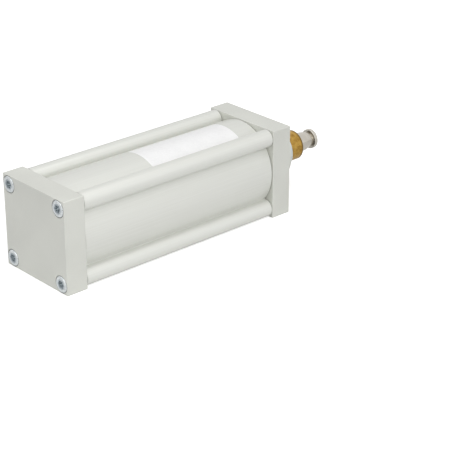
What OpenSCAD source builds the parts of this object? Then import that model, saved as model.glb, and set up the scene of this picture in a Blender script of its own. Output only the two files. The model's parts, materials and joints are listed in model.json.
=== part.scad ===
// Double-acting pneumatic cylinder: an extruded barrel with four screw lobes between two square caps.
// The axis is X, the rear cap's outer face is at X = 0 and the rod leaves towards +X. Millimetres.

/* [Body] */
// Travel of the piston rod
stroke = 150; // [60:5:300]
// How far the barrel's tube lies inside the sides of the caps
tube_inset = 0.75; // [0.3:0.05:1.5]
// Wall of the barrel tube
barrel_wall = 5.25; // [4:0.25:5.5]
// Diameter of the screw lobes at the barrel's corners
lobe_d = 14.4; // [12.4:0.2:14.6]
// Radius of the fillet between a lobe and the tube
lobe_fillet = 0.5; // [0.3:0.1:2]
// Edge break at both ends of the barrel
barrel_edge = 0.3; // [0.2:0.05:0.8]

/* [End caps] */
// Width and height of both end caps
cap_w = 75; // [68:0.5:80]
// Thickness of an end cap
cap_t = 18.5; // [18:0.5:30]
// Edge break of the caps
cap_edge = 0.3; // [0.2:0.1:1]
// Length of the spigot that centres a cap in the barrel
spigot_l = 5; // [5:0.5:9]
// Thickness of the gasket between barrel and cap
gasket_t = 0.5; // [0.3:0.1:1.5]
// Thickness of the stop buffers
buffer_t = 2; // [1:0.5:4]
// Diameter of the centring boss on the front cap
boss_d = 45; // [42:0.5:50]
// Length of the centring boss
boss_l = 17; // [12:0.5:25]
// Tapping diameter of the air ports
port_d = 11.5; // [8:0.1:12]
// Depth of the air ports
port_depth = 12; // [8:0.5:12]
// Diameter of the air passages
passage_d = 5; // [3:0.5:6]

/* [Screws] */
// Distance from the axis of a cap screw to the sides of the cap
screw_edge = 7.3; // [7.1:0.1:8.5]
// Shank diameter of the cap screws
screw_d = 7.9; // [6:0.1:8]
// Head diameter of the cap screws
head_d = 13; // [11:0.1:13.2]
// Head height of the cap screws
head_h = 8; // [6:0.5:9]
// How far the heads stand out of the counterbores
head_proud = 0.4; // [0.2:0.1:1.5]
// How far a screw reaches into its lobe
screw_grip = 18; // [12:1:25]
// Width across the points of the six-lobe sockets
socket_d = 6.7; // [5:0.1:7.5]
// Depth of the sockets
socket_depth = 3.6; // [2:0.1:5]

/* [Rod end] */
// Diameter of the piston rod
rod_d = 16; // [12:0.5:17]
// Outer diameter of the brass gland
gland_d = 25; // [23.5:0.5:27]
// How far the gland stands out of the lock ring
gland_out = 16.2; // [10:0.1:25]
// Outer diameter of the lock ring
ring_d = 33; // [31:0.5:38]
// Width of the lock ring
ring_w = 8; // [5:0.5:12]
// How far the plain rod stands out of the gland when it is drawn in
rod_out = 8.5; // [3:0.5:30]
// Length of the taper on the rod's coupling head
taper_l = 6.8; // [4:0.2:10]
// Diameter at the small end of the taper
taper_d = 13.4; // [11:0.2:14]
// Diameter of the coupling neck
neck_d = 10; // [8:0.5:11]
// Width of the coupling neck
neck_w = 2.3; // [1.5:0.1:6]
// Diameter of the coupling disc
disc_d = 16.6; // [15:0.2:18]
// Thickness of the coupling disc
disc_t = 3.3; // [2:0.1:6]

/* [Piston] */
// Length of the whole piston
piston_l = 23; // [22:0.5:32]
// Diameter of the rod's spigot in the piston
tang_d = 12; // [10:0.5:12]
// Width of the magnet and of the guide band
magnet_w = 5; // [4:0.5:6]
// Width of a piston seal
seal_w = 4; // [3:0.5:4]
// Width across flats of the piston nut
nut_af = 18; // [17:0.5:19]

/* [Fits] */
// Radial clearance of pieces that slide on each other
running = 0.05; // [0.02:0.01:0.1]
// Radial clearance of pieces that are put together loosely
loose = 0.2; // [0.1:0.05:0.3]
// Gap left at each end of the travel
end_gap = 0.5; // [0.3:0.1:1]

/* [Hidden] */
$fn = 72;
cut = 1;

// stations along the axis
rear_in = cap_t;
bore_x0 = rear_in + gasket_t;
barrel_l = stroke + piston_l + 2 * (spigot_l - gasket_t + buffer_t + end_gap);
bore_x1 = bore_x0 + barrel_l;
front_in = bore_x1 + gasket_t;
front_out = front_in + cap_t;
boss_x1 = front_out + boss_l;
ring_x1 = boss_x1 + ring_w;
gland_x1 = ring_x1 + gland_out;
rear_stop = rear_in + spigot_l + buffer_t;
front_stop = front_in - spigot_l - buffer_t;
piston_x0 = rear_stop + end_gap;
piston_x1 = piston_x0 + piston_l;
half_l = (piston_l - magnet_w) / 2;
magnet_x0 = piston_x0 + half_l;
magnet_x1 = magnet_x0 + magnet_w;
rod_x1 = gland_x1 + rod_out;
taper_x1 = rod_x1 + taper_l;
neck_x1 = taper_x1 + neck_w;
disc_x1 = neck_x1 + disc_t;

// radii
tube_r = cap_w / 2 - tube_inset;
bore_r = tube_r - barrel_wall;
lobe_r = lobe_d / 2;
lobe_at = cap_w / 2 - screw_edge;
screw_r = screw_d / 2;
head_r = head_d / 2;
sink_r = head_r + 2 * loose;
rod_r = rod_d / 2;
gland_r = gland_d / 2;
ring_r = ring_d / 2;
boss_r = boss_d / 2;
spigot_r = bore_r - loose;
port_r = port_d / 2;
passage_r = passage_d / 2;

// barrel: how far a fillet's circle cuts into tube and lobe, so that they cross instead of just touching,
// and the step at the foot of the edge breaks
fillet_bite = 0.02;
end_ledge = 0.1;

// width of the webs in a gasket
web_w = 6;

// small edge breaks of turned parts
fine_edge = 0.3;
turned_edge = 0.5;
ring_edge = 0.8;
screw_tip = 1;

// widths of the spot face round a port and of the front buffer
spot_w = 2;
front_buffer_w = 3;

// seals: cord radius of the cap O-rings and the grooves that they lie in
cord_r = 1.3;
cord_at = spigot_r - cord_r + loose / 2;
groove_r = cord_at - cord_r - loose / 2;
groove_w = 3.2;
groove_x = (spigot_l + gasket_t) / 2;

// gland inside: shoulder, guide bush, rod seal and wiper, with their distances from the cap's faces
shoulder_l = 4;
shoulder_w = 2;
shoulder_r = gland_r + shoulder_w;
shoulder_x0 = front_in - shoulder_l;
bush_wall = 1.5;
bush_l = 18;
bush_in = 4;
bush_x0 = front_out + bush_in;
rod_seal_w = 5;
rod_seal_in = 8;
rod_seal_h = 2.9;
rod_seal_x0 = front_in + rod_seal_in;
rod_seal_r = rod_r + rod_seal_h;
wiper_w = 3.5;
wiper_h = 2.7;
wiper_r = rod_r + wiper_h;
gland_edge = 1;

// section of a lip seal and of the wiper: shares of the height from the fixed side, and of the width
cup_section = [[0, 0], [0.88, 0], [0.88, 0.4], [1, 0.75], [1, 0.9], [0.75, 1], [0.5, 0.45], [0.25, 1], [0, 1]];
wiper_section = [[0, 0], [0.75, 0], [0.75, 0.6], [1, 0.95], [1, 1.15], [0.85, 1.15], [0.4, 0.9], [0, 0.85]];

// piston inside
piston_r = bore_r - 2 * loose;
seal_h = 4.5;
seal_at = 2.5;
seal_in_r = bore_r - seal_h;
magnet_cover = 3.2;
magnet_h = 6;
band_gap = 1.2;
magnet_out_r = bore_r - magnet_cover;
magnet_in_r = magnet_out_r - magnet_h;
band_in_r = magnet_out_r + band_gap;
tang_r = tang_d / 2;
nut_h = 5;
washer_t = 1;
washer_r = nut_af / 2 + shoulder_w;
recess_r = washer_r + 2 * loose;
recess_l = nut_h + washer_t + loose;
buffer_w = 5;
buffer_in_r = recess_r + turned_edge;
buffer_out_r = buffer_in_r + buffer_w;
front_buffer_in_r = shoulder_r + turned_edge;
passage_at = max(buffer_out_r, front_buffer_in_r + front_buffer_w) + passage_r + turned_edge;

// screw sockets: radius of the six points as a share of the width, and the cone at the bottom
point_share = 0.13;
socket_cone = 1.2;

// coupling head: stud in the end of the rod
stud_r = 4;
stud_l = 12;
head_edge = 0.6;

silver = "#d6d7d2";
zinc = "#b9bec0";
brass = "#b08a45";
steel = "#bdb6ab";
black = "#2b2b2b";
bronze = "#9c7a4a";
cream = "#cfc9b4";
fibre = "#a9aaa4";

// a solid bar on the axis from station a to station b
module bar(r, a, b) {
    translate([a, 0, 0]) rotate([0, 90, 0]) cylinder(r = r, h = b - a);
}

// a cone on the axis from station a to station b
module cone(r1, r2, a, b) {
    translate([a, 0, 0]) rotate([0, 90, 0]) cylinder(r1 = r1, r2 = r2, h = b - a);
}

// a bar with an edge break at either end
module turned(r, a, b, edge_a, edge_b) {
    union() {
        bar(r, a + edge_a, b - edge_b);
        if (edge_a > 0) cone(r - edge_a, r, a, a + edge_a);
        if (edge_b > 0) cone(r, r - edge_b, b - edge_b, b);
    }
}

// a plain ring on the axis
module ring(ro, ri, a, b) {
    difference() {
        bar(ro, a, b);
        bar(ri, a - cut, b + cut);
    }
}

// a section turned round the axis: shares of the height from radius a to radius b, and of the width from station x
module turned_section(section, a, b, x, w) {
    translate([x, 0, 0]) rotate([0, 90, 0]) rotate_extrude()
        polygon([for (p = section) [a + p[0] * (b - a), p[1] * w]]);
}

// its children at the four screw positions
module at_corners() {
    for (sy = [-1, 1], sz = [-1, 1]) translate([0, sy * lobe_at, sz * lobe_at]) children();
}

// the fillet between the tube and a lobe: the triangle of the three centres less the fillet's circle
module fillet_wedge() {
    reach = lobe_at * sqrt(2);
    a = tube_r + lobe_fillet - fillet_bite;
    b = lobe_r + lobe_fillet - fillet_bite;
    turn = acos((a * a + reach * reach - b * b) / (2 * a * reach));
    centre = [a * cos(turn), a * sin(turn)];
    difference() {
        polygon([[0, 0], [reach, 0], centre]);
        translate(centre) circle(r = lobe_fillet);
    }
}

// outline of the extrusion in the Y-Z plane
module barrel_outline() {
    circle(r = tube_r);
    for (quarter = [45:90:315]) rotate(quarter) {
        translate([lobe_at * sqrt(2), 0]) circle(r = lobe_r);
        fillet_wedge();
        mirror([0, 1]) fillet_wedge();
    }
}

// a Y-Z outline drawn out along the axis
module extrusion(a, b) {
    translate([a, 0, 0]) rotate([90, 0, 90]) linear_extrude(b - a) children();
}

module barrel() {
    tube_end = tube_r - end_ledge;
    lobe_end = lobe_r - end_ledge;
    color(silver) difference() {
        union() {
            extrusion(bore_x0 + barrel_edge, bore_x1 - barrel_edge) barrel_outline();
            cone(tube_end - barrel_edge, tube_end, bore_x0, bore_x0 + barrel_edge);
            cone(tube_end, tube_end - barrel_edge, bore_x1 - barrel_edge, bore_x1);
            at_corners() cone(lobe_end - barrel_edge, lobe_end, bore_x0, bore_x0 + barrel_edge);
            at_corners() cone(lobe_end, lobe_end - barrel_edge, bore_x1 - barrel_edge, bore_x1);
        }
        bar(bore_r, bore_x0 - cut, bore_x1 + cut);
        at_corners() bar(screw_r + running, bore_x0 - cut, bore_x1 + cut);
    }
}

// a square with cut corners
module cut_square(w, h, c) {
    polygon([[c, 0], [w - c, 0], [w, c], [w, h - c], [w - c, h], [c, h], [0, h - c], [0, c]]);
}

// cap block from station a to station b with every edge broken
module cap_block(a, b) {
    h = cap_w / 2;
    intersection() {
        extrusion(a, b) translate([-h, -h]) cut_square(cap_w, cap_w, cap_edge);
        translate([a, -h, -h]) linear_extrude(cap_w) cut_square(b - a, cap_w, cap_edge);
        translate([a, h, -h]) rotate([90, 0, 0]) linear_extrude(cap_w) cut_square(b - a, cap_w, cap_edge);
    }
}

// port, its spot face and the passage to the chamber; side is +1 when the chamber lies towards +X
module air_way(x, side, chamber_x) {
    translate([x, cap_w / 2 + cut, 0]) rotate([90, 0, 0]) cylinder(r = port_r, h = port_depth + cut);
    translate([x, cap_w / 2 + cut, 0]) rotate([90, 0, 0]) cylinder(r = port_r + spot_w, h = cap_edge + cut);
    translate([x, cap_w / 2, 0]) rotate([90, 0, 0]) cylinder(r = passage_r, h = cap_w / 2 - passage_at);
    translate([0, passage_at, 0]) bar(passage_r, side > 0 ? x : chamber_x - cut, side > 0 ? chamber_x + cut : x);
}

// groove of a cap O-ring round a spigot
module cord_groove(x) {
    ring(spigot_r + cut, groove_r, x - groove_w / 2, x + groove_w / 2);
}

module rear_cap() {
    color(silver) difference() {
        union() {
            cap_block(0, rear_in);
            turned(spigot_r, rear_in - cut, rear_in + spigot_l, 0, turned_edge);
        }
        at_corners() bar(sink_r, -cut, head_h - head_proud);
        at_corners() bar(screw_r + loose, 0, rear_in + cut);
        cord_groove(rear_in + groove_x);
        air_way(cap_t / 2, 1, rear_in + spigot_l);
    }
}

module front_cap() {
    color(silver) difference() {
        union() {
            cap_block(front_in, front_out);
            turned(spigot_r, front_in - spigot_l, front_in + cut, turned_edge, 0);
            turned(boss_r, front_out - cut, boss_x1, 0, cap_edge);
        }
        at_corners() bar(sink_r, front_out - head_h + head_proud, front_out + cut);
        at_corners() bar(screw_r + loose, front_in - cut, front_out);
        bar(gland_r + running, front_in - spigot_l - cut, boss_x1 + cut);
        bar(shoulder_r + loose, front_in - spigot_l - cut, shoulder_x0 + shoulder_l);
        cord_groove(front_in - groove_x);
        air_way(front_in + cap_t / 2, -1, front_in - spigot_l);
    }
}

// flat gasket with the barrel's outline, set in a little from its edge; webs tie the corners to the ring
module gasket(a) {
    inset = barrel_edge;
    reach = lobe_at * sqrt(2);
    color(fibre) extrusion(a, a + gasket_t) difference() {
        union() {
            circle(r = tube_r - inset);
            for (quarter = [45:90:315]) rotate(quarter) {
                translate([reach, 0]) circle(r = lobe_r - inset);
                translate([0, -web_w / 2]) square([reach, web_w]);
            }
        }
        circle(r = bore_r);
        for (sy = [-1, 1], sz = [-1, 1]) translate([sy, sz] * lobe_at) circle(r = screw_r + loose);
    }
}

module rear_gasket() gasket(rear_in);
module front_gasket() gasket(bore_x1);

// O-ring of a cap spigot
module o_ring(x) {
    color(black) translate([x, 0, 0]) rotate([0, 90, 0]) rotate_extrude() translate([cord_at, 0]) circle(r = cord_r);
}

module rear_o_ring() o_ring(rear_in + groove_x);
module front_o_ring() o_ring(front_in - groove_x);

module rear_buffer() color(black) ring(buffer_out_r, buffer_in_r, rear_stop - buffer_t, rear_stop);
module front_buffer() {
    color(black) ring(front_buffer_in_r + front_buffer_w, front_buffer_in_r, front_stop, front_stop + buffer_t);
}

// six-lobe socket: a round core, six points and the hollows between them
module socket_outline() {
    point_r = socket_d * point_share;
    difference() {
        union() {
            circle(r = socket_d / 2 - point_r);
            for (turn = [0:60:300]) rotate(turn) translate([socket_d / 2 - point_r, 0]) circle(r = point_r);
        }
        for (turn = [30:60:330]) rotate(turn) translate([socket_d / 2, 0]) circle(r = point_r);
    }
}

// one cap screw along +X, its head's underside at X = 0
module cap_screw() {
    difference() {
        union() {
            turned(head_r, -head_h, 0, turned_edge, 0);
            turned(screw_r, -cut, cap_t - head_h + head_proud + gasket_t + screw_grip, 0, screw_tip);
        }
        extrusion(-head_h - cut, socket_depth - head_h) socket_outline();
        cone(socket_d / 2 - socket_d * point_share, 0, socket_depth - head_h - running, socket_depth - head_h + socket_cone);
    }
}

module rear_cap_screws() color(zinc) at_corners() translate([head_h - head_proud, 0, 0]) cap_screw();
module front_cap_screws() {
    color(zinc) at_corners() translate([front_out - head_h + head_proud, 0, 0]) rotate([0, 180, 0]) cap_screw();
}

module lock_ring() {
    color(zinc) difference() {
        turned(ring_r, boss_x1, ring_x1, turned_edge, ring_edge);
        bar(gland_r + running, boss_x1 - cut, ring_x1 + cut);
    }
}

module brass_gland() {
    color(brass) difference() {
        union() {
            turned(gland_r, shoulder_x0, gland_x1, 0, gland_edge);
            bar(shoulder_r, shoulder_x0, shoulder_x0 + shoulder_l);
        }
        bar(rod_r + running, shoulder_x0 - cut, gland_x1 + cut);
        bar(rod_r + bush_wall + running, bush_x0, bush_x0 + bush_l);
        bar(rod_seal_r + running, rod_seal_x0, rod_seal_x0 + rod_seal_w);
        bar(wiper_r + running, gland_x1 - wiper_w, gland_x1 + cut);
    }
}

module guide_bush() color(bronze) ring(rod_r + bush_wall, rod_r + running, bush_x0, bush_x0 + bush_l);
module rod_seal() {
    color(black) translate([rod_seal_x0 + rod_seal_w, 0, 0]) mirror([1, 0, 0])
        turned_section(cup_section, rod_seal_r, rod_r + running, 0, rod_seal_w);
}
module rod_wiper() {
    color(black) turned_section(wiper_section, wiper_r, rod_r + running, gland_x1 - wiper_w, wiper_w);
}

// one piston half seen from its outer face at X = 0, with the seal groove
module piston_half() {
    difference() {
        turned(piston_r, 0, half_l, ring_edge, 0);
        ring(piston_r + cut, seal_in_r - running, seal_at, seal_at + seal_w + 2 * loose);
        bar(tang_r + running, -cut, half_l + cut);
    }
}

module rear_piston_half() {
    color(silver) difference() {
        translate([piston_x0, 0, 0]) piston_half();
        bar(recess_r, piston_x0 - cut, piston_x0 + recess_l);
    }
}

module front_piston_half() {
    color(silver) difference() {
        union() {
            translate([piston_x1, 0, 0]) rotate([0, 180, 0]) piston_half();
            bar(magnet_in_r - loose, magnet_x0, magnet_x1 + cut);
        }
        bar(tang_r + running, magnet_x0 - cut, piston_x1 + cut);
    }
}

module piston_magnet() color(black) ring(magnet_out_r, magnet_in_r, magnet_x0, magnet_x1);
module guide_band() {
    color(cream) ring(bore_r - running, band_in_r, magnet_x0 + loose, magnet_x1 - loose);
}

// lip seal of the front half: its mouth opens towards +X
module front_piston_seal() {
    color(black) turned_section(cup_section, seal_in_r, bore_r - running, piston_x1 - seal_at - loose - seal_w, seal_w);
}

// lip seal of the rear half: its mouth opens towards -X
module rear_piston_seal() {
    color(black) translate([piston_x0 + seal_at + loose + seal_w, 0, 0]) mirror([1, 0, 0])
        turned_section(cup_section, seal_in_r, bore_r - running, 0, seal_w);
}

module piston_washer() {
    color(zinc) ring(washer_r, tang_r + loose, piston_x0 + recess_l - washer_t, piston_x0 + recess_l);
}

module piston_nut() {
    color(zinc) difference() {
        translate([piston_x0 + recess_l - washer_t - nut_h, 0, 0]) rotate([0, 90, 0])
            cylinder(r = nut_af / sqrt(3), h = nut_h, $fn = 6);
        bar(tang_r + running, piston_x0 - cut, piston_x1);
    }
}

module piston_rod() {
    color(steel) difference() {
        union() {
            turned(tang_r, piston_x0 + loose, piston_x1 + cut, turned_edge, 0);
            turned(rod_r, piston_x1, rod_x1, fine_edge, 0);
        }
        bar(stud_r + running, rod_x1 - stud_l - loose, rod_x1 + cut);
    }
}

module coupling_head() {
    color(steel) union() {
        bar(stud_r, rod_x1 - stud_l, rod_x1 + cut);
        cone(rod_r, taper_d / 2, rod_x1, taper_x1);
        bar(neck_d / 2, taper_x1 - cut, neck_x1 + cut);
        turned(disc_d / 2, neck_x1, disc_x1, fine_edge, head_edge);
    }
}

barrel();
rear_cap();
front_cap();
rear_gasket();
front_gasket();
rear_o_ring();
front_o_ring();
rear_buffer();
front_buffer();
rear_cap_screws();
front_cap_screws();
lock_ring();
brass_gland();
guide_bush();
rod_seal();
rod_wiper();
rear_piston_half();
front_piston_half();
piston_magnet();
guide_band();
rear_piston_seal();
front_piston_seal();
piston_washer();
piston_nut();
piston_rod();
coupling_head();
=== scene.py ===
"""Looks of the pneumatic cylinder: anodised body, plated screws, brass gland and a ground piston rod."""

import json
import math

import bmesh
import bpy
from bpy.props import FloatProperty, FloatVectorProperty, PointerProperty, StringProperty
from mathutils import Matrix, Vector


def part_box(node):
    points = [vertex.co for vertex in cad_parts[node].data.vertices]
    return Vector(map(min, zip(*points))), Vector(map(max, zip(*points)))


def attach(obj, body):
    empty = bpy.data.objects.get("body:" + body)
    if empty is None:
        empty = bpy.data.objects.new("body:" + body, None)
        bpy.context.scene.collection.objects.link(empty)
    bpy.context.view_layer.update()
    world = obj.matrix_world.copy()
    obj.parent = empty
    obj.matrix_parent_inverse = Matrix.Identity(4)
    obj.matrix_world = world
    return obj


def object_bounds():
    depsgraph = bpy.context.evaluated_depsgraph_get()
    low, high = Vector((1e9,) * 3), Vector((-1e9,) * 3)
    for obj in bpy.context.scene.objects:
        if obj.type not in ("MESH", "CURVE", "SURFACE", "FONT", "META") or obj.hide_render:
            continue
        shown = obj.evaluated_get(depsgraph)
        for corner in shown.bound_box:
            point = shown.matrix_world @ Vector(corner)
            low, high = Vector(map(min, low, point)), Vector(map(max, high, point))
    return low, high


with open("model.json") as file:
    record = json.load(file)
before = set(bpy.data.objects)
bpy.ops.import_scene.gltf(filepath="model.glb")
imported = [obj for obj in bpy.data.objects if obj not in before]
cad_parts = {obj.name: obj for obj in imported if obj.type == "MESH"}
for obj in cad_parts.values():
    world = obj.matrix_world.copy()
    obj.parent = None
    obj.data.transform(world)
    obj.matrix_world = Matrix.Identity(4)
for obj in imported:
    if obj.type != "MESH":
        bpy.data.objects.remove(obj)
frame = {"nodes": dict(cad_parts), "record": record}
CAD_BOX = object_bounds()

bl_info = {
    "name": "Pneumatic Cylinder Looks",
    "version": (1, 0, 0),
    "blender": (4, 5, 0),
    "location": "3D View > Sidebar > Cylinder",
    "description": "Materials, label, port threads and studio for a pneumatic cylinder",
    "category": "Object",
}

MM = 0.001

# where a pattern's values, which gather round 0.5, reach the darker and the lighter tone
TONE_STOPS = (0.35, 0.65)
# range of a pattern's values over which the gloss changes
GLOSS_FROM, GLOSS_TO = 0.3, 0.7
# sides of the whole cylinder that the label is cut from, and of one turn of thread
LABEL_SIDES = 120
THREAD_SIDES = 40
# share of the pitch that a thread ridge takes at its foot
RIDGE_SHARE = 0.84
# edges that turn less than this are shaded smooth
SMOOTH_BELOW = math.radians(35)


# ---------------------------------------------------------------- colours and nodes


def linear(hex_colour):
    """An sRGB hex colour as linear RGBA."""
    parts = [int(hex_colour.lstrip("#")[i : i + 2], 16) / 255 for i in (0, 2, 4)]
    return [p / 12.92 if p <= 0.04045 else ((p + 0.055) / 1.055) ** 2.4 for p in parts] + [1.0]


def add(tree, kind, links=None, **settings):
    """A node of that kind. A setting that names an input fills its socket, any other is the node's own.
    links gives an input's source socket."""
    node = tree.nodes.new(kind)
    for name, value in settings.items():
        if hasattr(node, name):
            setattr(node, name, value)
    for name, value in settings.items():
        if not hasattr(node, name):
            node.inputs[name.replace("_", " ")].default_value = value
    for name, source in (links or {}).items():
        tree.links.new(source, node.inputs[name])
    return node


def surface(
    name, tones, grain_mm, cloud_mm, roughness, relief_mm, share=0.5, drawn=1.0, turned=False, **sockets
):
    """A material that varies by a fine grain and a wide cloud. Both vary the tone, with that share for the
    cloud, the grain also stands up by relief_mm, and the cloud varies the gloss. drawn stretches both along
    the axis, and turned lays the grain in rings across it. The rest are the shader's own constant values."""
    material = bpy.data.materials.new(name)
    material.use_nodes = True
    tree = material.node_tree
    tree.nodes.clear()
    shader = add(tree, "ShaderNodeBsdfPrincipled", **sockets)
    add(tree, "ShaderNodeOutputMaterial", {"Surface": shader.outputs["BSDF"]})
    place = add(tree, "ShaderNodeTexCoord").outputs["Object"]
    marks = ring_place(tree, place) if turned else place
    patterns = []
    for where, size_mm, detail in ((marks, grain_mm, 2.0), (place, cloud_mm, 3.0)):
        scale = 1 / (size_mm * MM)
        spread = add(tree, "ShaderNodeMapping", {"Vector": where}, Scale=[scale / drawn, scale, scale])
        spot = spread.outputs["Vector"]
        pattern = add(tree, "ShaderNodeTexNoise", {"Vector": spot}, Scale=1.0, Detail=detail)
        patterns.append(pattern.outputs["Fac"])
    grain, cloud = patterns
    both = add(tree, "ShaderNodeMix", {"A": grain, "B": cloud}, data_type="FLOAT", Factor=share)
    tone = add(tree, "ShaderNodeValToRGB", {"Fac": both.outputs["Result"]})
    for stop, at, colour in zip(tone.color_ramp.elements, TONE_STOPS, tones):
        stop.position = at
        stop.color = linear(colour)
    tree.links.new(tone.outputs["Color"], shader.inputs["Base Color"])
    gloss = add(tree, "ShaderNodeMapRange", {"Value": cloud}, From_Min=GLOSS_FROM, From_Max=GLOSS_TO)
    gloss.inputs["To Min"].default_value, gloss.inputs["To Max"].default_value = roughness
    tree.links.new(gloss.outputs["Result"], shader.inputs["Roughness"])
    relief = add(tree, "ShaderNodeBump", {"Height": grain}, Strength=1.0, Distance=relief_mm * MM)
    tree.links.new(relief.outputs["Normal"], shader.inputs["Normal"])
    return material


def ring_place(tree, place):
    """Distance along the axis plus distance from it, which runs across the tool marks of any turned face."""
    split = add(tree, "ShaderNodeSeparateXYZ", {"Vector": place})
    across = add(tree, "ShaderNodeCombineXYZ", {"Y": split.outputs["Y"], "Z": split.outputs["Z"]})
    radius = add(tree, "ShaderNodeVectorMath", {0: across.outputs["Vector"]}, operation="LENGTH")
    total = add(tree, "ShaderNodeMath", {0: split.outputs["X"], 1: radius.outputs["Value"]}, operation="ADD")
    return add(tree, "ShaderNodeCombineXYZ", {"X": total.outputs["Value"]}).outputs["Vector"]


def own_place(material):
    """The Object coordinates that a material already uses."""
    return next(node for node in material.node_tree.nodes if node.type == "TEX_COORD").outputs["Object"]


def overlay(material, mask, colour):
    """Lays a colour over a material's present one where the mask is 1."""
    tree = material.node_tree
    shader = next(node for node in tree.nodes if node.type == "BSDF_PRINCIPLED")
    below = shader.inputs["Base Color"].links[0].from_socket
    mixed = add(tree, "ShaderNodeMix", {0: mask, 6: below}, data_type="RGBA")
    mixed.inputs[7].default_value = linear(colour)
    tree.links.new(mixed.outputs[2], shader.inputs["Base Color"])


# ---------------------------------------------------------------- materials


def satin_anodised_extrusion(look):
    """Natural anodised extrusion. Soft satin metal: the etched oxide blurs reflections, and the die leaves
    faint lines along the bar that break up the long highlights."""
    # the clear oxide scatters part of the light, so the metal isn't a full mirror
    # die lines are about 0.2 mm apart; drawn at 0.6 mm so that they show
    tones = (look.body_dark, look.body_light)
    gloss = (0.4, 0.48)
    return surface("satin_anodised_extrusion", tones, 0.6, 18.0, gloss, 0.0008, drawn=200.0, Metallic=0.4)


def blasted_anodised_cap(look):
    """Milled aluminium, bead-blasted and natural anodised. Matt grey with a fine grain and hardly any
    highlight."""
    # bead marks are about 0.1 mm; drawn at 0.4 mm so that the grain shows
    tones = (look.cap_dark, look.cap_light)
    return surface("blasted_anodised_cap", tones, 0.4, 25.0, (0.5, 0.58), 0.006, share=0.6, Metallic=0.6)


def zinc_plated_steel(name, look):
    """Cold-headed steel, bright zinc plated and blue passivated. Cool grey, a little cloudy, with soft
    highlights."""
    tones = (look.zinc_dark, look.zinc_light)
    return surface(name, tones, 0.5, 2.0, (0.24, 0.4), 0.004, share=0.7, Metallic=1.0)


def plated_cap_screws(look):
    """The same plating on the cap screws, with painted light and shade: lighter inside the sockets as painted
    reflection, painted shade round each socket's mouth, and painted shadow on the flank of each head, where
    it stands in the counterbore's gap."""
    material = zinc_plated_steel("zinc_plated_cap_screws", look)
    tree = material.node_tree
    middle, head = screw_heads()
    # every head is brought onto one: X then runs out of its face, Y and Z lie across it
    centred = add(tree, "ShaderNodeVectorMath", {0: own_place(material)}, operation="SUBTRACT")
    centred.inputs[1].default_value = middle
    folded = add(tree, "ShaderNodeVectorMath", {0: centred.outputs["Vector"]}, operation="ABSOLUTE")
    local = add(tree, "ShaderNodeVectorMath", {0: folded.outputs["Vector"]}, operation="SUBTRACT")
    local.inputs[1].default_value = head
    split = add(tree, "ShaderNodeSeparateXYZ", {"Vector": local.outputs["Vector"]})
    across = add(tree, "ShaderNodeCombineXYZ", {"Y": split.outputs["Y"], "Z": split.outputs["Z"]})
    radius = add(tree, "ShaderNodeVectorMath", {0: across.outputs["Vector"]}, operation="LENGTH")
    # each zone of painted light or shade: its limits of radius and of depth below the face, and its colour.
    # Painted shade round the socket's mouth, painted light inside the socket, painted shadow on the flank in
    # the counterbore's gap
    for inner, outer, depth_mm, colour in (
        (0.0, 4.1, -0.1, look.mouth),
        (0.0, 3.4, 0.3, look.socket),
        (6.1, 20.0, 0.45, look.flank),
    ):
        over = add(tree, "ShaderNodeMath", {0: radius.outputs["Value"]}, operation="GREATER_THAN")
        under = add(tree, "ShaderNodeMath", {0: radius.outputs["Value"]}, operation="LESS_THAN")
        deep = add(tree, "ShaderNodeMath", {0: split.outputs["X"]}, operation="LESS_THAN")
        for node, limit_mm in ((over, inner), (under, outer), (deep, -depth_mm)):
            node.inputs[1].default_value = limit_mm * MM
        mask = over.outputs["Value"]
        for limit in (under, deep):
            both = add(tree, "ShaderNodeMath", {0: mask, 1: limit.outputs["Value"]}, operation="MULTIPLY")
            mask = both.outputs["Value"]
        overlay(material, mask, colour)
    return material


def turned_plated_ring(look):
    """Turned steel, zinc plated. Pale cool metal whose fine rings stretch each highlight along the axis."""
    # the feed leaves rings 0.1 mm apart; drawn at 0.3 mm so that they show
    tones = (look.ring_dark, look.ring_light)
    gloss = (0.3, 0.4)
    return surface("turned_plated_ring", tones, 0.3, 6.0, gloss, 0.006, share=0.4, turned=True, Metallic=1.0)


def turned_brass(look):
    """Turned brass, tarnished in patches. Warm yellow with browner clouds and fine rings from the tool, and
    painted shade at both ends: the lock ring's contact shade at one end and a dark reflection on the edge
    break at the other."""
    tones = (look.brass_dark, look.brass_light)
    material = surface("turned_brass", tones, 0.35, 3.5, (0.22, 0.34), 0.01, turned=True, Metallic=1.0)
    tree = material.node_tree
    station = add(tree, "ShaderNodeSeparateXYZ", {"Vector": own_place(material)}).outputs["X"]
    # painted shade: full on the last 1.2 mm at each end of the gland's open length, fading over 2 mm more; it
    # stands for the lock ring's contact shade at one end and a dark reflection on the edge break at the other
    for end, inward in ((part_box("lock_ring")[1].x, 1), (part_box("brass_gland")[1].x, -1)):
        unshaded, full = end + inward * 3.2 * MM, end + inward * 1.2 * MM
        rim = add(tree, "ShaderNodeMapRange", {"Value": station}, From_Min=unshaded, From_Max=full)
        overlay(material, rim.outputs["Result"], look.end_shade)
    return material


def ground_plated_rod(look):
    """Ground and hard plated rod. Warm grey, close to a mirror, with hardly any marks."""
    tones = (look.rod_dark, look.rod_light)
    gloss = (0.14, 0.18)
    return surface("ground_plated_rod", tones, 0.15, 6.0, gloss, 0.002, share=0.4, turned=True, Metallic=1.0)


def turned_plated_head(look):
    """Turned and plated steel of the coupling head. As warm as the rod, with rings that soften the
    highlights."""
    tones = (look.rod_dark, look.rod_light)
    gloss = (0.22, 0.3)
    return surface("turned_plated_head", tones, 0.3, 6.0, gloss, 0.006, share=0.4, turned=True, Metallic=1.0)


def turned_aluminium():
    """Turned aluminium of the piston. Bright grey with plain tool rings."""
    tones = ("#BFC0BD", "#D6D7D4")
    gloss = (0.31, 0.41)
    return surface("turned_aluminium", tones, 0.4, 6.0, gloss, 0.012, share=0.4, turned=True, Metallic=1.0)


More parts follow.
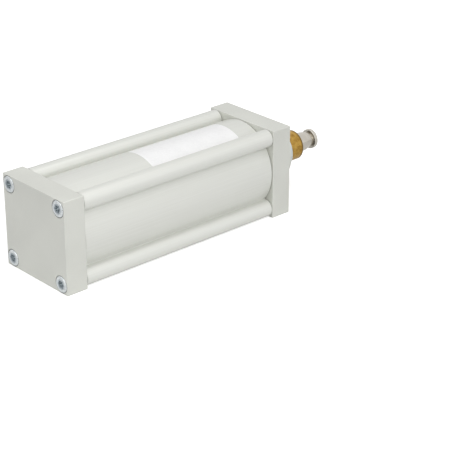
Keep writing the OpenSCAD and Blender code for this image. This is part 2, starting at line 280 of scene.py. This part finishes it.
def cut_thread(look):
    """Thread cut in the anodised cap. Brighter than the cap's skin, with marks of the tap."""
    tones = (look.cap_dark, look.cap_light)
    return surface("cut_thread", tones, 0.3, 3.0, (0.34, 0.46), 0.004, Metallic=1.0)


def sintered_bronze(look):
    """Pressed and sintered bronze. Brown metal, dulled by open oil-filled pores."""
    tones = ("#5C4526", look.bronze)
    return surface("sintered_bronze", tones, 0.3, 4.0, (0.45, 0.55), 0.02, share=0.3, Metallic=1.0)


def moulded_nitrile():
    """Moulded nitrile rubber. Dead black and matt with a faint bloom."""
    return surface("moulded_nitrile", ("#141414", "#242424"), 0.4, 1.5, (0.58, 0.68), 0.01, IOR=1.5)


def cast_polyurethane():
    """Cast polyurethane of the lip seals. Blue-black, smoother than rubber and with a little more shine."""
    return surface("cast_polyurethane", ("#161A1F", "#252B33"), 0.4, 2.0, (0.35, 0.45), 0.006, IOR=1.5)


def compressed_fibre():
    """Compressed fibre sheet. Flat light grey with short pale fibres in a darker binder."""
    return surface("compressed_fibre", ("#8F908A", "#A9AAA4"), 0.5, 4.0, (0.75, 0.85), 0.02, IOR=1.5)


def bonded_ferrite():
    """Plastic-bonded ferrite. Near black, slightly glossy, with a fine metallic grit."""
    tones = ("#1F1F21", "#3A3A3D")
    return surface("bonded_ferrite", tones, 0.25, 4.0, (0.4, 0.5), 0.01, share=0.3, IOR=1.55)


def natural_acetal():
    """Machined natural acetal. Creamy, slightly waxy plastic with faint turning marks."""
    tones = ("#CDC7B0", "#DDD8C6")
    wax = {"IOR": 1.48, "Subsurface_Weight": 0.08}
    return surface("natural_acetal", tones, 0.25, 5.0, (0.34, 0.42), 0.01, turned=True, **wax)


def label_film(look):
    """White polyester label film. Clean white with a low sheen and a faint orange peel from the adhesive."""
    tones = (look.label_dark, look.label_light)
    return surface("label_film", tones, 1.8, 12.0, (0.38, 0.46), 0.01, IOR=1.46)


# ---------------------------------------------------------------- mesh helpers


def paint(names, material):
    """Puts one material on CAD nodes."""
    for name in names:
        mesh = frame["nodes"][name].data
        mesh.materials.clear()
        mesh.materials.append(material)


def start(name):
    """Deselects everything, so that the next primitive is alone."""
    bpy.ops.object.select_all(action="DESELECT")
    if name in bpy.data.objects:
        raise RuntimeError(f"{name} is already there")


def settle(piece, body, material):
    """Applies a finished piece's place, smooths it and hangs it on its body."""
    bpy.ops.object.select_all(action="DESELECT")
    piece.select_set(True)
    bpy.context.view_layer.objects.active = piece
    bpy.ops.object.transform_apply(location=True, rotation=True, scale=True)
    bpy.ops.object.mode_set(mode="EDIT")
    bpy.ops.mesh.select_all(action="SELECT")
    bpy.ops.mesh.remove_doubles(threshold=1e-6)
    bpy.ops.mesh.normals_make_consistent(inside=False)
    bpy.ops.object.mode_set(mode="OBJECT")
    bpy.ops.object.shade_smooth_by_angle(angle=SMOOTH_BELOW)
    piece.data.materials.clear()
    piece.data.materials.append(material)
    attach(piece, body)
    return piece


def select_where(piece, kind, test):
    """In edit mode, selects the faces or vertices whose place passes a test."""
    bpy.ops.mesh.select_mode(type=kind)
    bpy.ops.mesh.select_all(action="DESELECT")
    mesh = bmesh.from_edit_mesh(piece.data)
    for part in mesh.faces if kind == "FACE" else mesh.verts:
        place = part.calc_center_median() if kind == "FACE" else part.co
        part.select_set(test(place))
    mesh.select_flush_mode()
    bmesh.update_edit_mesh(piece.data)


def tube_radius():
    """Radius of the barrel's tube, measured on its mesh between the two upper lobes."""
    spots = [v.co for v in frame["nodes"]["barrel"].data.vertices if abs(v.co.y) < 15 * MM]
    return max(math.hypot(spot.y, spot.z) for spot in spots)


def screw_heads():
    """The middle of the eight cap screws, and how far the centre of each head's face lies from it."""
    rear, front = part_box("rear_cap_screws")[0].x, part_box("front_cap_screws")[1].x
    one = [v.co for v in frame["nodes"]["rear_cap_screws"].data.vertices if v.co.y > 0 and v.co.z > 0]
    across = (min(spot.y for spot in one) + max(spot.y for spot in one)) / 2
    return ((rear + front) / 2, 0, 0), ((front - rear) / 2, across, across)


# ---------------------------------------------------------------- properties


class CYL_PG_finishes(bpy.types.PropertyGroup):
    body_light: StringProperty(
        name="Barrel light", description="Lighter tone of the barrel", default="#DCDDD8"
    )
    body_dark: StringProperty(name="Barrel dark", description="Darker tone of the barrel", default="#D6D7D1")
    cap_light: StringProperty(name="Cap light", description="Lighter tone of the caps", default="#D5D6D0")
    cap_dark: StringProperty(name="Cap dark", description="Darker tone of the caps", default="#CFD0CA")
    zinc_light: StringProperty(
        name="Zinc light", description="Lighter tone of the plating", default="#E0E4E5"
    )
    zinc_dark: StringProperty(name="Zinc dark", description="Darker tone of the plating", default="#C6CBCD")
    # socket, mouth and flank are painted light and shade on the cap screws: light inside the sockets, shade
    # round their mouths, shadow on the heads' flanks
    socket: StringProperty(name="Socket", description="Tone inside the screw sockets", default="#CDD3D6")
    mouth: StringProperty(name="Mouth", description="Tone round the screw sockets", default="#AEB6BB")
    flank: StringProperty(name="Flank", description="Tone of the screw heads' flank", default="#5A5E5E")
    ring_light: StringProperty(
        name="Ring light", description="Lighter tone of the lock ring", default="#D9DEDD"
    )
    ring_dark: StringProperty(name="Ring dark", description="Darker tone of the lock ring", default="#C4CACA")
    brass_light: StringProperty(
        name="Brass light", description="Lighter tone of the gland", default="#C8A355"
    )
    brass_dark: StringProperty(name="Brass dark", description="Darker tone of the gland", default="#926C2C")
    # painted shade at both ends of the gland
    end_shade: StringProperty(name="End shade", description="Tone of the gland near its ends", default="#705A30")
    bronze: StringProperty(name="Bronze", description="Tone of the guide bush", default="#A68452")
    rod_light: StringProperty(name="Rod light", description="Lighter tone of the rod", default="#D0CCC3")
    rod_dark: StringProperty(name="Rod dark", description="Darker tone of the rod", default="#BBB5AB")
    label_light: StringProperty(
        name="Label light", description="Lighter tone of the label", default="#FAFAFA"
    )
    label_dark: StringProperty(name="Label dark", description="Darker tone of the label", default="#F3F3F3")


class CYL_PG_label(bpy.types.PropertyGroup):
    start: FloatProperty(
        name="Start", description="Station of the end nearer the rear cap", default=98.0 * MM, unit="LENGTH"
    )
    length: FloatProperty(
        name="Length", description="Length along the barrel", default=89.0 * MM, unit="LENGTH"
    )
    top: FloatProperty(
        name="Far edge",
        description="Turn of the far edge from the top",
        default=math.radians(-18),
        subtype="ANGLE",
    )
    bottom: FloatProperty(
        name="Near edge",
        description="Turn of the near edge from the top",
        default=math.radians(30),
        subtype="ANGLE",
    )
    thickness: FloatProperty(name="Thickness", description="Film thickness", default=0.08 * MM, unit="LENGTH")
    corner: FloatProperty(name="Corner", description="Radius of the corners", default=1.5 * MM, unit="LENGTH")


class CYL_PG_threads(bpy.types.PropertyGroup):
    pitch: FloatProperty(
        name="Pitch", description="Distance between turns", default=1.337 * MM, unit="LENGTH"
    )
    depth: FloatProperty(
        name="Depth", description="Height of a thread ridge", default=0.5 * MM, unit="LENGTH"
    )
    length: FloatProperty(name="Length", description="Length of the thread", default=10.0 * MM, unit="LENGTH")


class CYL_PG_stage(bpy.types.PropertyGroup):
    floor: FloatVectorProperty(
        name="Floor",
        description="Colour of the floor",
        default=(0.8, 0.8, 0.8),
        subtype="COLOR",
        min=0.0,
        max=1.0,
    )
    world: FloatProperty(name="World", description="Brightness of the studio's walls", default=0.32)
    key: FloatProperty(name="Key light", description="Power of the overhead light", default=4.2, unit="POWER")
    side: FloatProperty(
        name="Side light", description="Power of the light on the near side", default=6.2, unit="POWER"
    )
    end: FloatProperty(
        name="End light", description="Power of the light behind the rear cap", default=2.8, unit="POWER"
    )


class CYL_PG_all(bpy.types.PropertyGroup):
    finishes: PointerProperty(type=CYL_PG_finishes, name="Finishes", description="Colours of the finishes")
    label: PointerProperty(type=CYL_PG_label, name="Label", description="Sizes of the label")
    threads: PointerProperty(type=CYL_PG_threads, name="Threads", description="Sizes of the port threads")
    stage: PointerProperty(type=CYL_PG_stage, name="Stage", description="Floor and light")


# ---------------------------------------------------------------- operators


class CYL_OT_body(bpy.types.Operator):
    """Finish the barrel and both end caps"""

    bl_idname = "cylinder.body"
    bl_label = "Finish Body"

    def execute(self, context):
        look = context.scene.cylinder.finishes
        paint(["barrel"], satin_anodised_extrusion(look))
        paint(["rear_cap", "front_cap"], blasted_anodised_cap(look))
        return {"FINISHED"}


class CYL_OT_fasteners(bpy.types.Operator):
    """Finish the cap screws, the washer and the nut"""

    bl_idname = "cylinder.fasteners"
    bl_label = "Finish Fasteners"

    def execute(self, context):
        look = context.scene.cylinder.finishes
        paint(["rear_cap_screws", "front_cap_screws"], plated_cap_screws(look))
        paint(["piston_washer", "piston_nut"], zinc_plated_steel("zinc_plated_steel", look))
        return {"FINISHED"}


class CYL_OT_rod_end(bpy.types.Operator):
    """Finish the lock ring, gland, guide bush, piston rod and coupling head"""

    bl_idname = "cylinder.rod_end"
    bl_label = "Finish Rod End"

    def execute(self, context):
        look = context.scene.cylinder.finishes
        paint(["lock_ring"], turned_plated_ring(look))
        paint(["brass_gland"], turned_brass(look))
        paint(["guide_bush"], sintered_bronze(look))
        paint(["piston_rod"], ground_plated_rod(look))
        paint(["coupling_head"], turned_plated_head(look))
        return {"FINISHED"}


class CYL_OT_inner(bpy.types.Operator):
    """Finish the piston, its magnet and every seal, gasket and buffer"""

    bl_idname = "cylinder.inner"
    bl_label = "Finish Inner Parts"

    def execute(self, context):
        paint(["rear_o_ring", "front_o_ring", "rear_buffer", "front_buffer"], moulded_nitrile())
        paint(["rear_gasket", "front_gasket"], compressed_fibre())
        paint(["rod_seal", "rod_wiper", "rear_piston_seal", "front_piston_seal"], cast_polyurethane())
        paint(["rear_piston_half", "front_piston_half"], turned_aluminium())
        paint(["piston_magnet"], bonded_ferrite())
        paint(["guide_band"], natural_acetal())
        return {"FINISHED"}


class CYL_OT_label(bpy.types.Operator):
    """Add the blank label on top of the barrel"""

    bl_idname = "cylinder.label"
    bl_label = "Add Label"

    def execute(self, context):
        size = context.scene.cylinder.label
        tube = tube_radius()
        middle = size.start + size.length / 2
        start("blank_label")
        bpy.ops.mesh.primitive_cylinder_add(
            vertices=LABEL_SIDES,
            radius=tube,
            depth=size.length,
            end_fill_type="NOTHING",
            location=(middle, 0, 0),
            rotation=(0, math.radians(90), 0),
        )
        label = bpy.context.object
        label.name = "blank_label"
        bpy.ops.object.transform_apply(location=True, rotation=True, scale=True)
        bpy.ops.object.mode_set(mode="EDIT")
        # all of the wall goes but the label's own patch
        select_where(label, "FACE", lambda spot: not size.top < turn_from_top(spot) < size.bottom)
        bpy.ops.mesh.delete(type="FACE")
        if not bmesh.from_edit_mesh(label.data).faces:
            raise RuntimeError("the label's far and near edges leave no label")
        half_turn = (size.bottom - size.top) / 2
        select_where(
            label,
            "VERT",
            lambda spot: abs(abs(spot.x - middle) - size.length / 2) < 0.01 * MM
            and abs(turn_from_top(spot) - (size.top + size.bottom) / 2) > half_turn - math.pi / LABEL_SIDES,
        )
        bpy.ops.mesh.bevel(offset=size.corner, segments=5, affect="VERTICES")
        bpy.ops.mesh.select_all(action="SELECT")
        bpy.ops.mesh.normals_make_consistent(inside=False)
        bpy.ops.object.mode_set(mode="OBJECT")
        film = label.modifiers.new("film", "SOLIDIFY")
        film.thickness = size.thickness
        film.offset = 0.0
        bpy.ops.object.modifier_apply(modifier="film")
        settle(label, "cylinder", label_film(context.scene.cylinder.finishes))
        return {"FINISHED"}


def turn_from_top(spot):
    """Angle of a place round the axis, from the top towards the near side."""
    return math.atan2(-spot.y, spot.z)


class CYL_OT_port_threads(bpy.types.Operator):
    """Add the threads in both air ports"""

    bl_idname = "cylinder.port_threads"
    bl_label = "Add Port Threads"

    def execute(self, context):
        size = context.scene.cylinder.threads
        metal = cut_thread(context.scene.cylinder.finishes)
        ports = [m for m in frame["record"]["mounts"] if m["kind"] == "threaded_hole"]
        if not ports:
            raise RuntimeError("the record has no threaded port")
        first = wind_thread(ports[0]["name"] + "_thread", ports[0]["dims"]["r_mm"] * MM, size)
        ridges = [first]
        for port in ports[1:]:
            ridge = first.copy()
            ridge.data = first.data.copy()
            ridge.name = port["name"] + "_thread"
            context.collection.objects.link(ridge)
            ridges.append(ridge)
        for ridge, port in zip(ridges, ports):
            # the thread was wound along +Z, which goes down into the hole along -Y
            ridge.rotation_euler = (math.radians(90), 0, 0)
            ridge.location = (port["pos_m"][0], CAD_BOX[1].y - size.pitch, port["pos_m"][2])
            settle(ridge, "cylinder", metal)
        return {"FINISHED"}


def wind_thread(name, hole, size):
    """A thread ridge for a hole of that radius: a three-sided profile, wound up the Z axis."""
    foot = 0.15 * MM
    height = size.depth + foot
    start(name)
    # a crest that points to the hole's axis, on a foot sunk in the wall
    bpy.ops.mesh.primitive_circle_add(
        vertices=3,
        radius=height / 1.5,
        location=(hole + foot - height / 3, 0, 0),
        rotation=(math.radians(90), math.radians(-90), 0),
    )
    ridge = bpy.context.object
    ridge.name = name
    bpy.ops.object.transform_apply(location=True, rotation=True, scale=True)
    bpy.ops.object.mode_set(mode="EDIT")
    bpy.ops.mesh.select_all(action="SELECT")
    width = height / 1.5 * math.sqrt(3)
    bpy.ops.transform.resize(value=(1, 1, size.pitch * RIDGE_SHARE / width), center_override=(hole, 0, 0))
    bpy.ops.object.mode_set(mode="OBJECT")
    winding = ridge.modifiers.new("winding", "SCREW")
    winding.screw_offset = size.pitch
    winding.iterations = max(2, int(size.length / size.pitch))
    winding.steps = winding.render_steps = THREAD_SIDES
    winding.use_merge_vertices = False
    bpy.ops.object.modifier_apply(modifier="winding")
    bpy.ops.object.mode_set(mode="EDIT")
    bpy.ops.mesh.select_all(action="SELECT")
    bpy.ops.mesh.fill_holes(sides=3)
    bpy.ops.object.mode_set(mode="OBJECT")
    return ridge


class CYL_OT_stage(bpy.types.Operator):
    """Add the floor, the studio light and the camera"""

    bl_idname = "cylinder.stage"
    bl_label = "Add Stage"

    def execute(self, context):
        stage = context.scene.cylinder.stage
        add_floor(stage)
        add_world(context.scene, stage)
        add_lights(stage)
        add_camera(context.scene)
        return {"FINISHED"}


def straight_rays(tree):
    """1 for what is seen directly, in a reflection or through glass, and 0 for the light that a surface
    gathers."""
    rays = add(tree, "ShaderNodeLightPath")
    seen = rays.outputs["Is Camera Ray"]
    for other in ("Is Glossy Ray", "Is Transmission Ray"):
        either = add(tree, "ShaderNodeMath", {0: seen, 1: rays.outputs[other]}, operation="MAXIMUM")
        seen = either.outputs["Value"]
    return seen


def add_floor(stage):
    """A wide pale floor under the caps that keeps the shadow."""
    start("floor")
    lowest = CAD_BOX[0].z
    bpy.ops.mesh.primitive_plane_add(size=8.0, location=(0.1, 0, lowest - 0.0002))
    floor = bpy.context.object
    floor.name = "floor"
    bpy.ops.object.transform_apply(location=True, rotation=True, scale=True)
    material = bpy.data.materials.new("painted_board")
    material.use_nodes = True
    tree = material.node_tree
    tree.nodes.clear()
    shader = add(tree, "ShaderNodeBsdfPrincipled", Base_Color=(*stage.floor, 1.0), Roughness=0.9)
    # seen directly, it brightens outwards from under the part, so that its far edge meets the white
    place = add(tree, "ShaderNodeTexCoord").outputs["Object"]
    away = add(tree, "ShaderNodeVectorMath", {0: place}, operation="LENGTH")
    direct = add(
        tree,
        "ShaderNodeMapRange",
        {"Value": away.outputs["Value"]},
        From_Min=0.4,
        From_Max=1.4,
        To_Min=0.6,
        To_Max=0.9,
    )
    rays = add(tree, "ShaderNodeLightPath")
    strength = add(
        tree,
        "ShaderNodeMapRange",
        {"Value": rays.outputs["Is Camera Ray"], "To Max": direct.outputs["Result"]},
        To_Min=0.16,
    )
    lift = add(tree, "ShaderNodeEmission", {"Strength": strength.outputs["Result"]}, Color=(1, 1, 1, 1))
    lifted = add(tree, "ShaderNodeAddShader", {0: shader.outputs["BSDF"], 1: lift.outputs["Emission"]})
    pick = add(
        tree,
        "ShaderNodeMixShader",
        {0: straight_rays(tree), 1: shader.outputs["BSDF"], 2: lifted.outputs["Shader"]},
    )
    add(tree, "ShaderNodeOutputMaterial", {"Surface": pick.outputs["Shader"]})
    floor.data.materials.append(material)


def add_world(scene, stage):
    """Even studio light, seen as plain white."""
    world = bpy.data.worlds.new("studio")
    scene.world = world
    world.use_nodes = True
    tree = world.node_tree
    tree.nodes.clear()
    soft = add(tree, "ShaderNodeBackground", Color=(1, 1, 1, 1), Strength=stage.world)
    white = add(tree, "ShaderNodeBackground", Color=(1, 1, 1, 1), Strength=1.0)
    pick = add(
        tree,
        "ShaderNodeMixShader",
        {0: straight_rays(tree), 1: soft.outputs["Background"], 2: white.outputs["Background"]},
    )
    add(tree, "ShaderNodeOutputWorld", {"Surface": pick.outputs["Shader"]})


def add_lights(stage):
    """Three large soft lights: overhead, beside the barrel and beyond the rear cap."""
    for name, place, width, power in (
        ("overhead", (0.0, -0.2, 0.9), 0.9, stage.key),
        ("beside", (-0.15, -1.1, 0.5), 1.2, stage.side),
        ("end_on", (-1.2, 0.1, 0.5), 0.8, stage.end),
    ):
        start(name)
        bpy.ops.object.light_add(type="AREA", location=place)
        lamp = bpy.context.object
        lamp.name = name
        lamp.data.shape = "DISK"
        lamp.data.size = width
        lamp.data.energy = power
        aim = Vector((0.14, 0, 0)) - lamp.location
        lamp.rotation_mode = "QUATERNION"
        lamp.rotation_quaternion = aim.to_track_quat("-Z", "Y")


def add_camera(scene):
    """A long lens from above the rear cap's near corner."""
    start("camera")
    bpy.ops.object.camera_add(location=(-591.53 * MM, -861.67 * MM, 483.05 * MM))
    camera = bpy.context.object
    camera.name = "camera"
    turn, drop = math.radians(47.805), math.radians(24.706)
    look = Vector((math.cos(turn) * math.cos(drop), math.sin(turn) * math.cos(drop), -math.sin(drop)))
    camera.rotation_mode = "QUATERNION"
    camera.rotation_quaternion = look.to_track_quat("-Z", "Y")
    camera.data.sensor_width = 36.0
    camera.data.lens = 123.79
    camera.data.clip_start, camera.data.clip_end = 0.01, 100.0
    scene.camera = camera
    scene.view_settings.view_transform = "Standard"


# ---------------------------------------------------------------- panel and registration


class CYL_PT_panel(bpy.types.Panel):
    """Lists the steps that dress the cylinder"""

    bl_idname = "CYL_PT_panel"
    bl_label = "Pneumatic Cylinder"
    bl_space_type = "VIEW_3D"
    bl_region_type = "UI"
    bl_category = "Cylinder"

    def draw(self, context):
        for step in STEPS:
            self.layout.operator(step.bl_idname)


STEPS = (
    CYL_OT_body,
    CYL_OT_fasteners,
    CYL_OT_rod_end,
    CYL_OT_inner,
    CYL_OT_label,
    CYL_OT_port_threads,
    CYL_OT_stage,
)
CLASSES = (
    CYL_PG_finishes,
    CYL_PG_label,
    CYL_PG_threads,
    CYL_PG_stage,
    CYL_PG_all,
    *STEPS,
    CYL_PT_panel,
)


def register():
    for cls in CLASSES:
        bpy.utils.register_class(cls)
    bpy.types.Scene.cylinder = PointerProperty(type=CYL_PG_all)


def unregister():
    del bpy.types.Scene.cylinder
    for cls in reversed(CLASSES):
        bpy.utils.unregister_class(cls)


def main():
    register()
    bpy.ops.cylinder.body()
    bpy.ops.cylinder.fasteners()
    bpy.ops.cylinder.rod_end()
    bpy.ops.cylinder.inner()
    bpy.ops.cylinder.label()
    bpy.ops.cylinder.port_threads()
    bpy.ops.cylinder.stage()


if __name__ == "__main__":
    main()
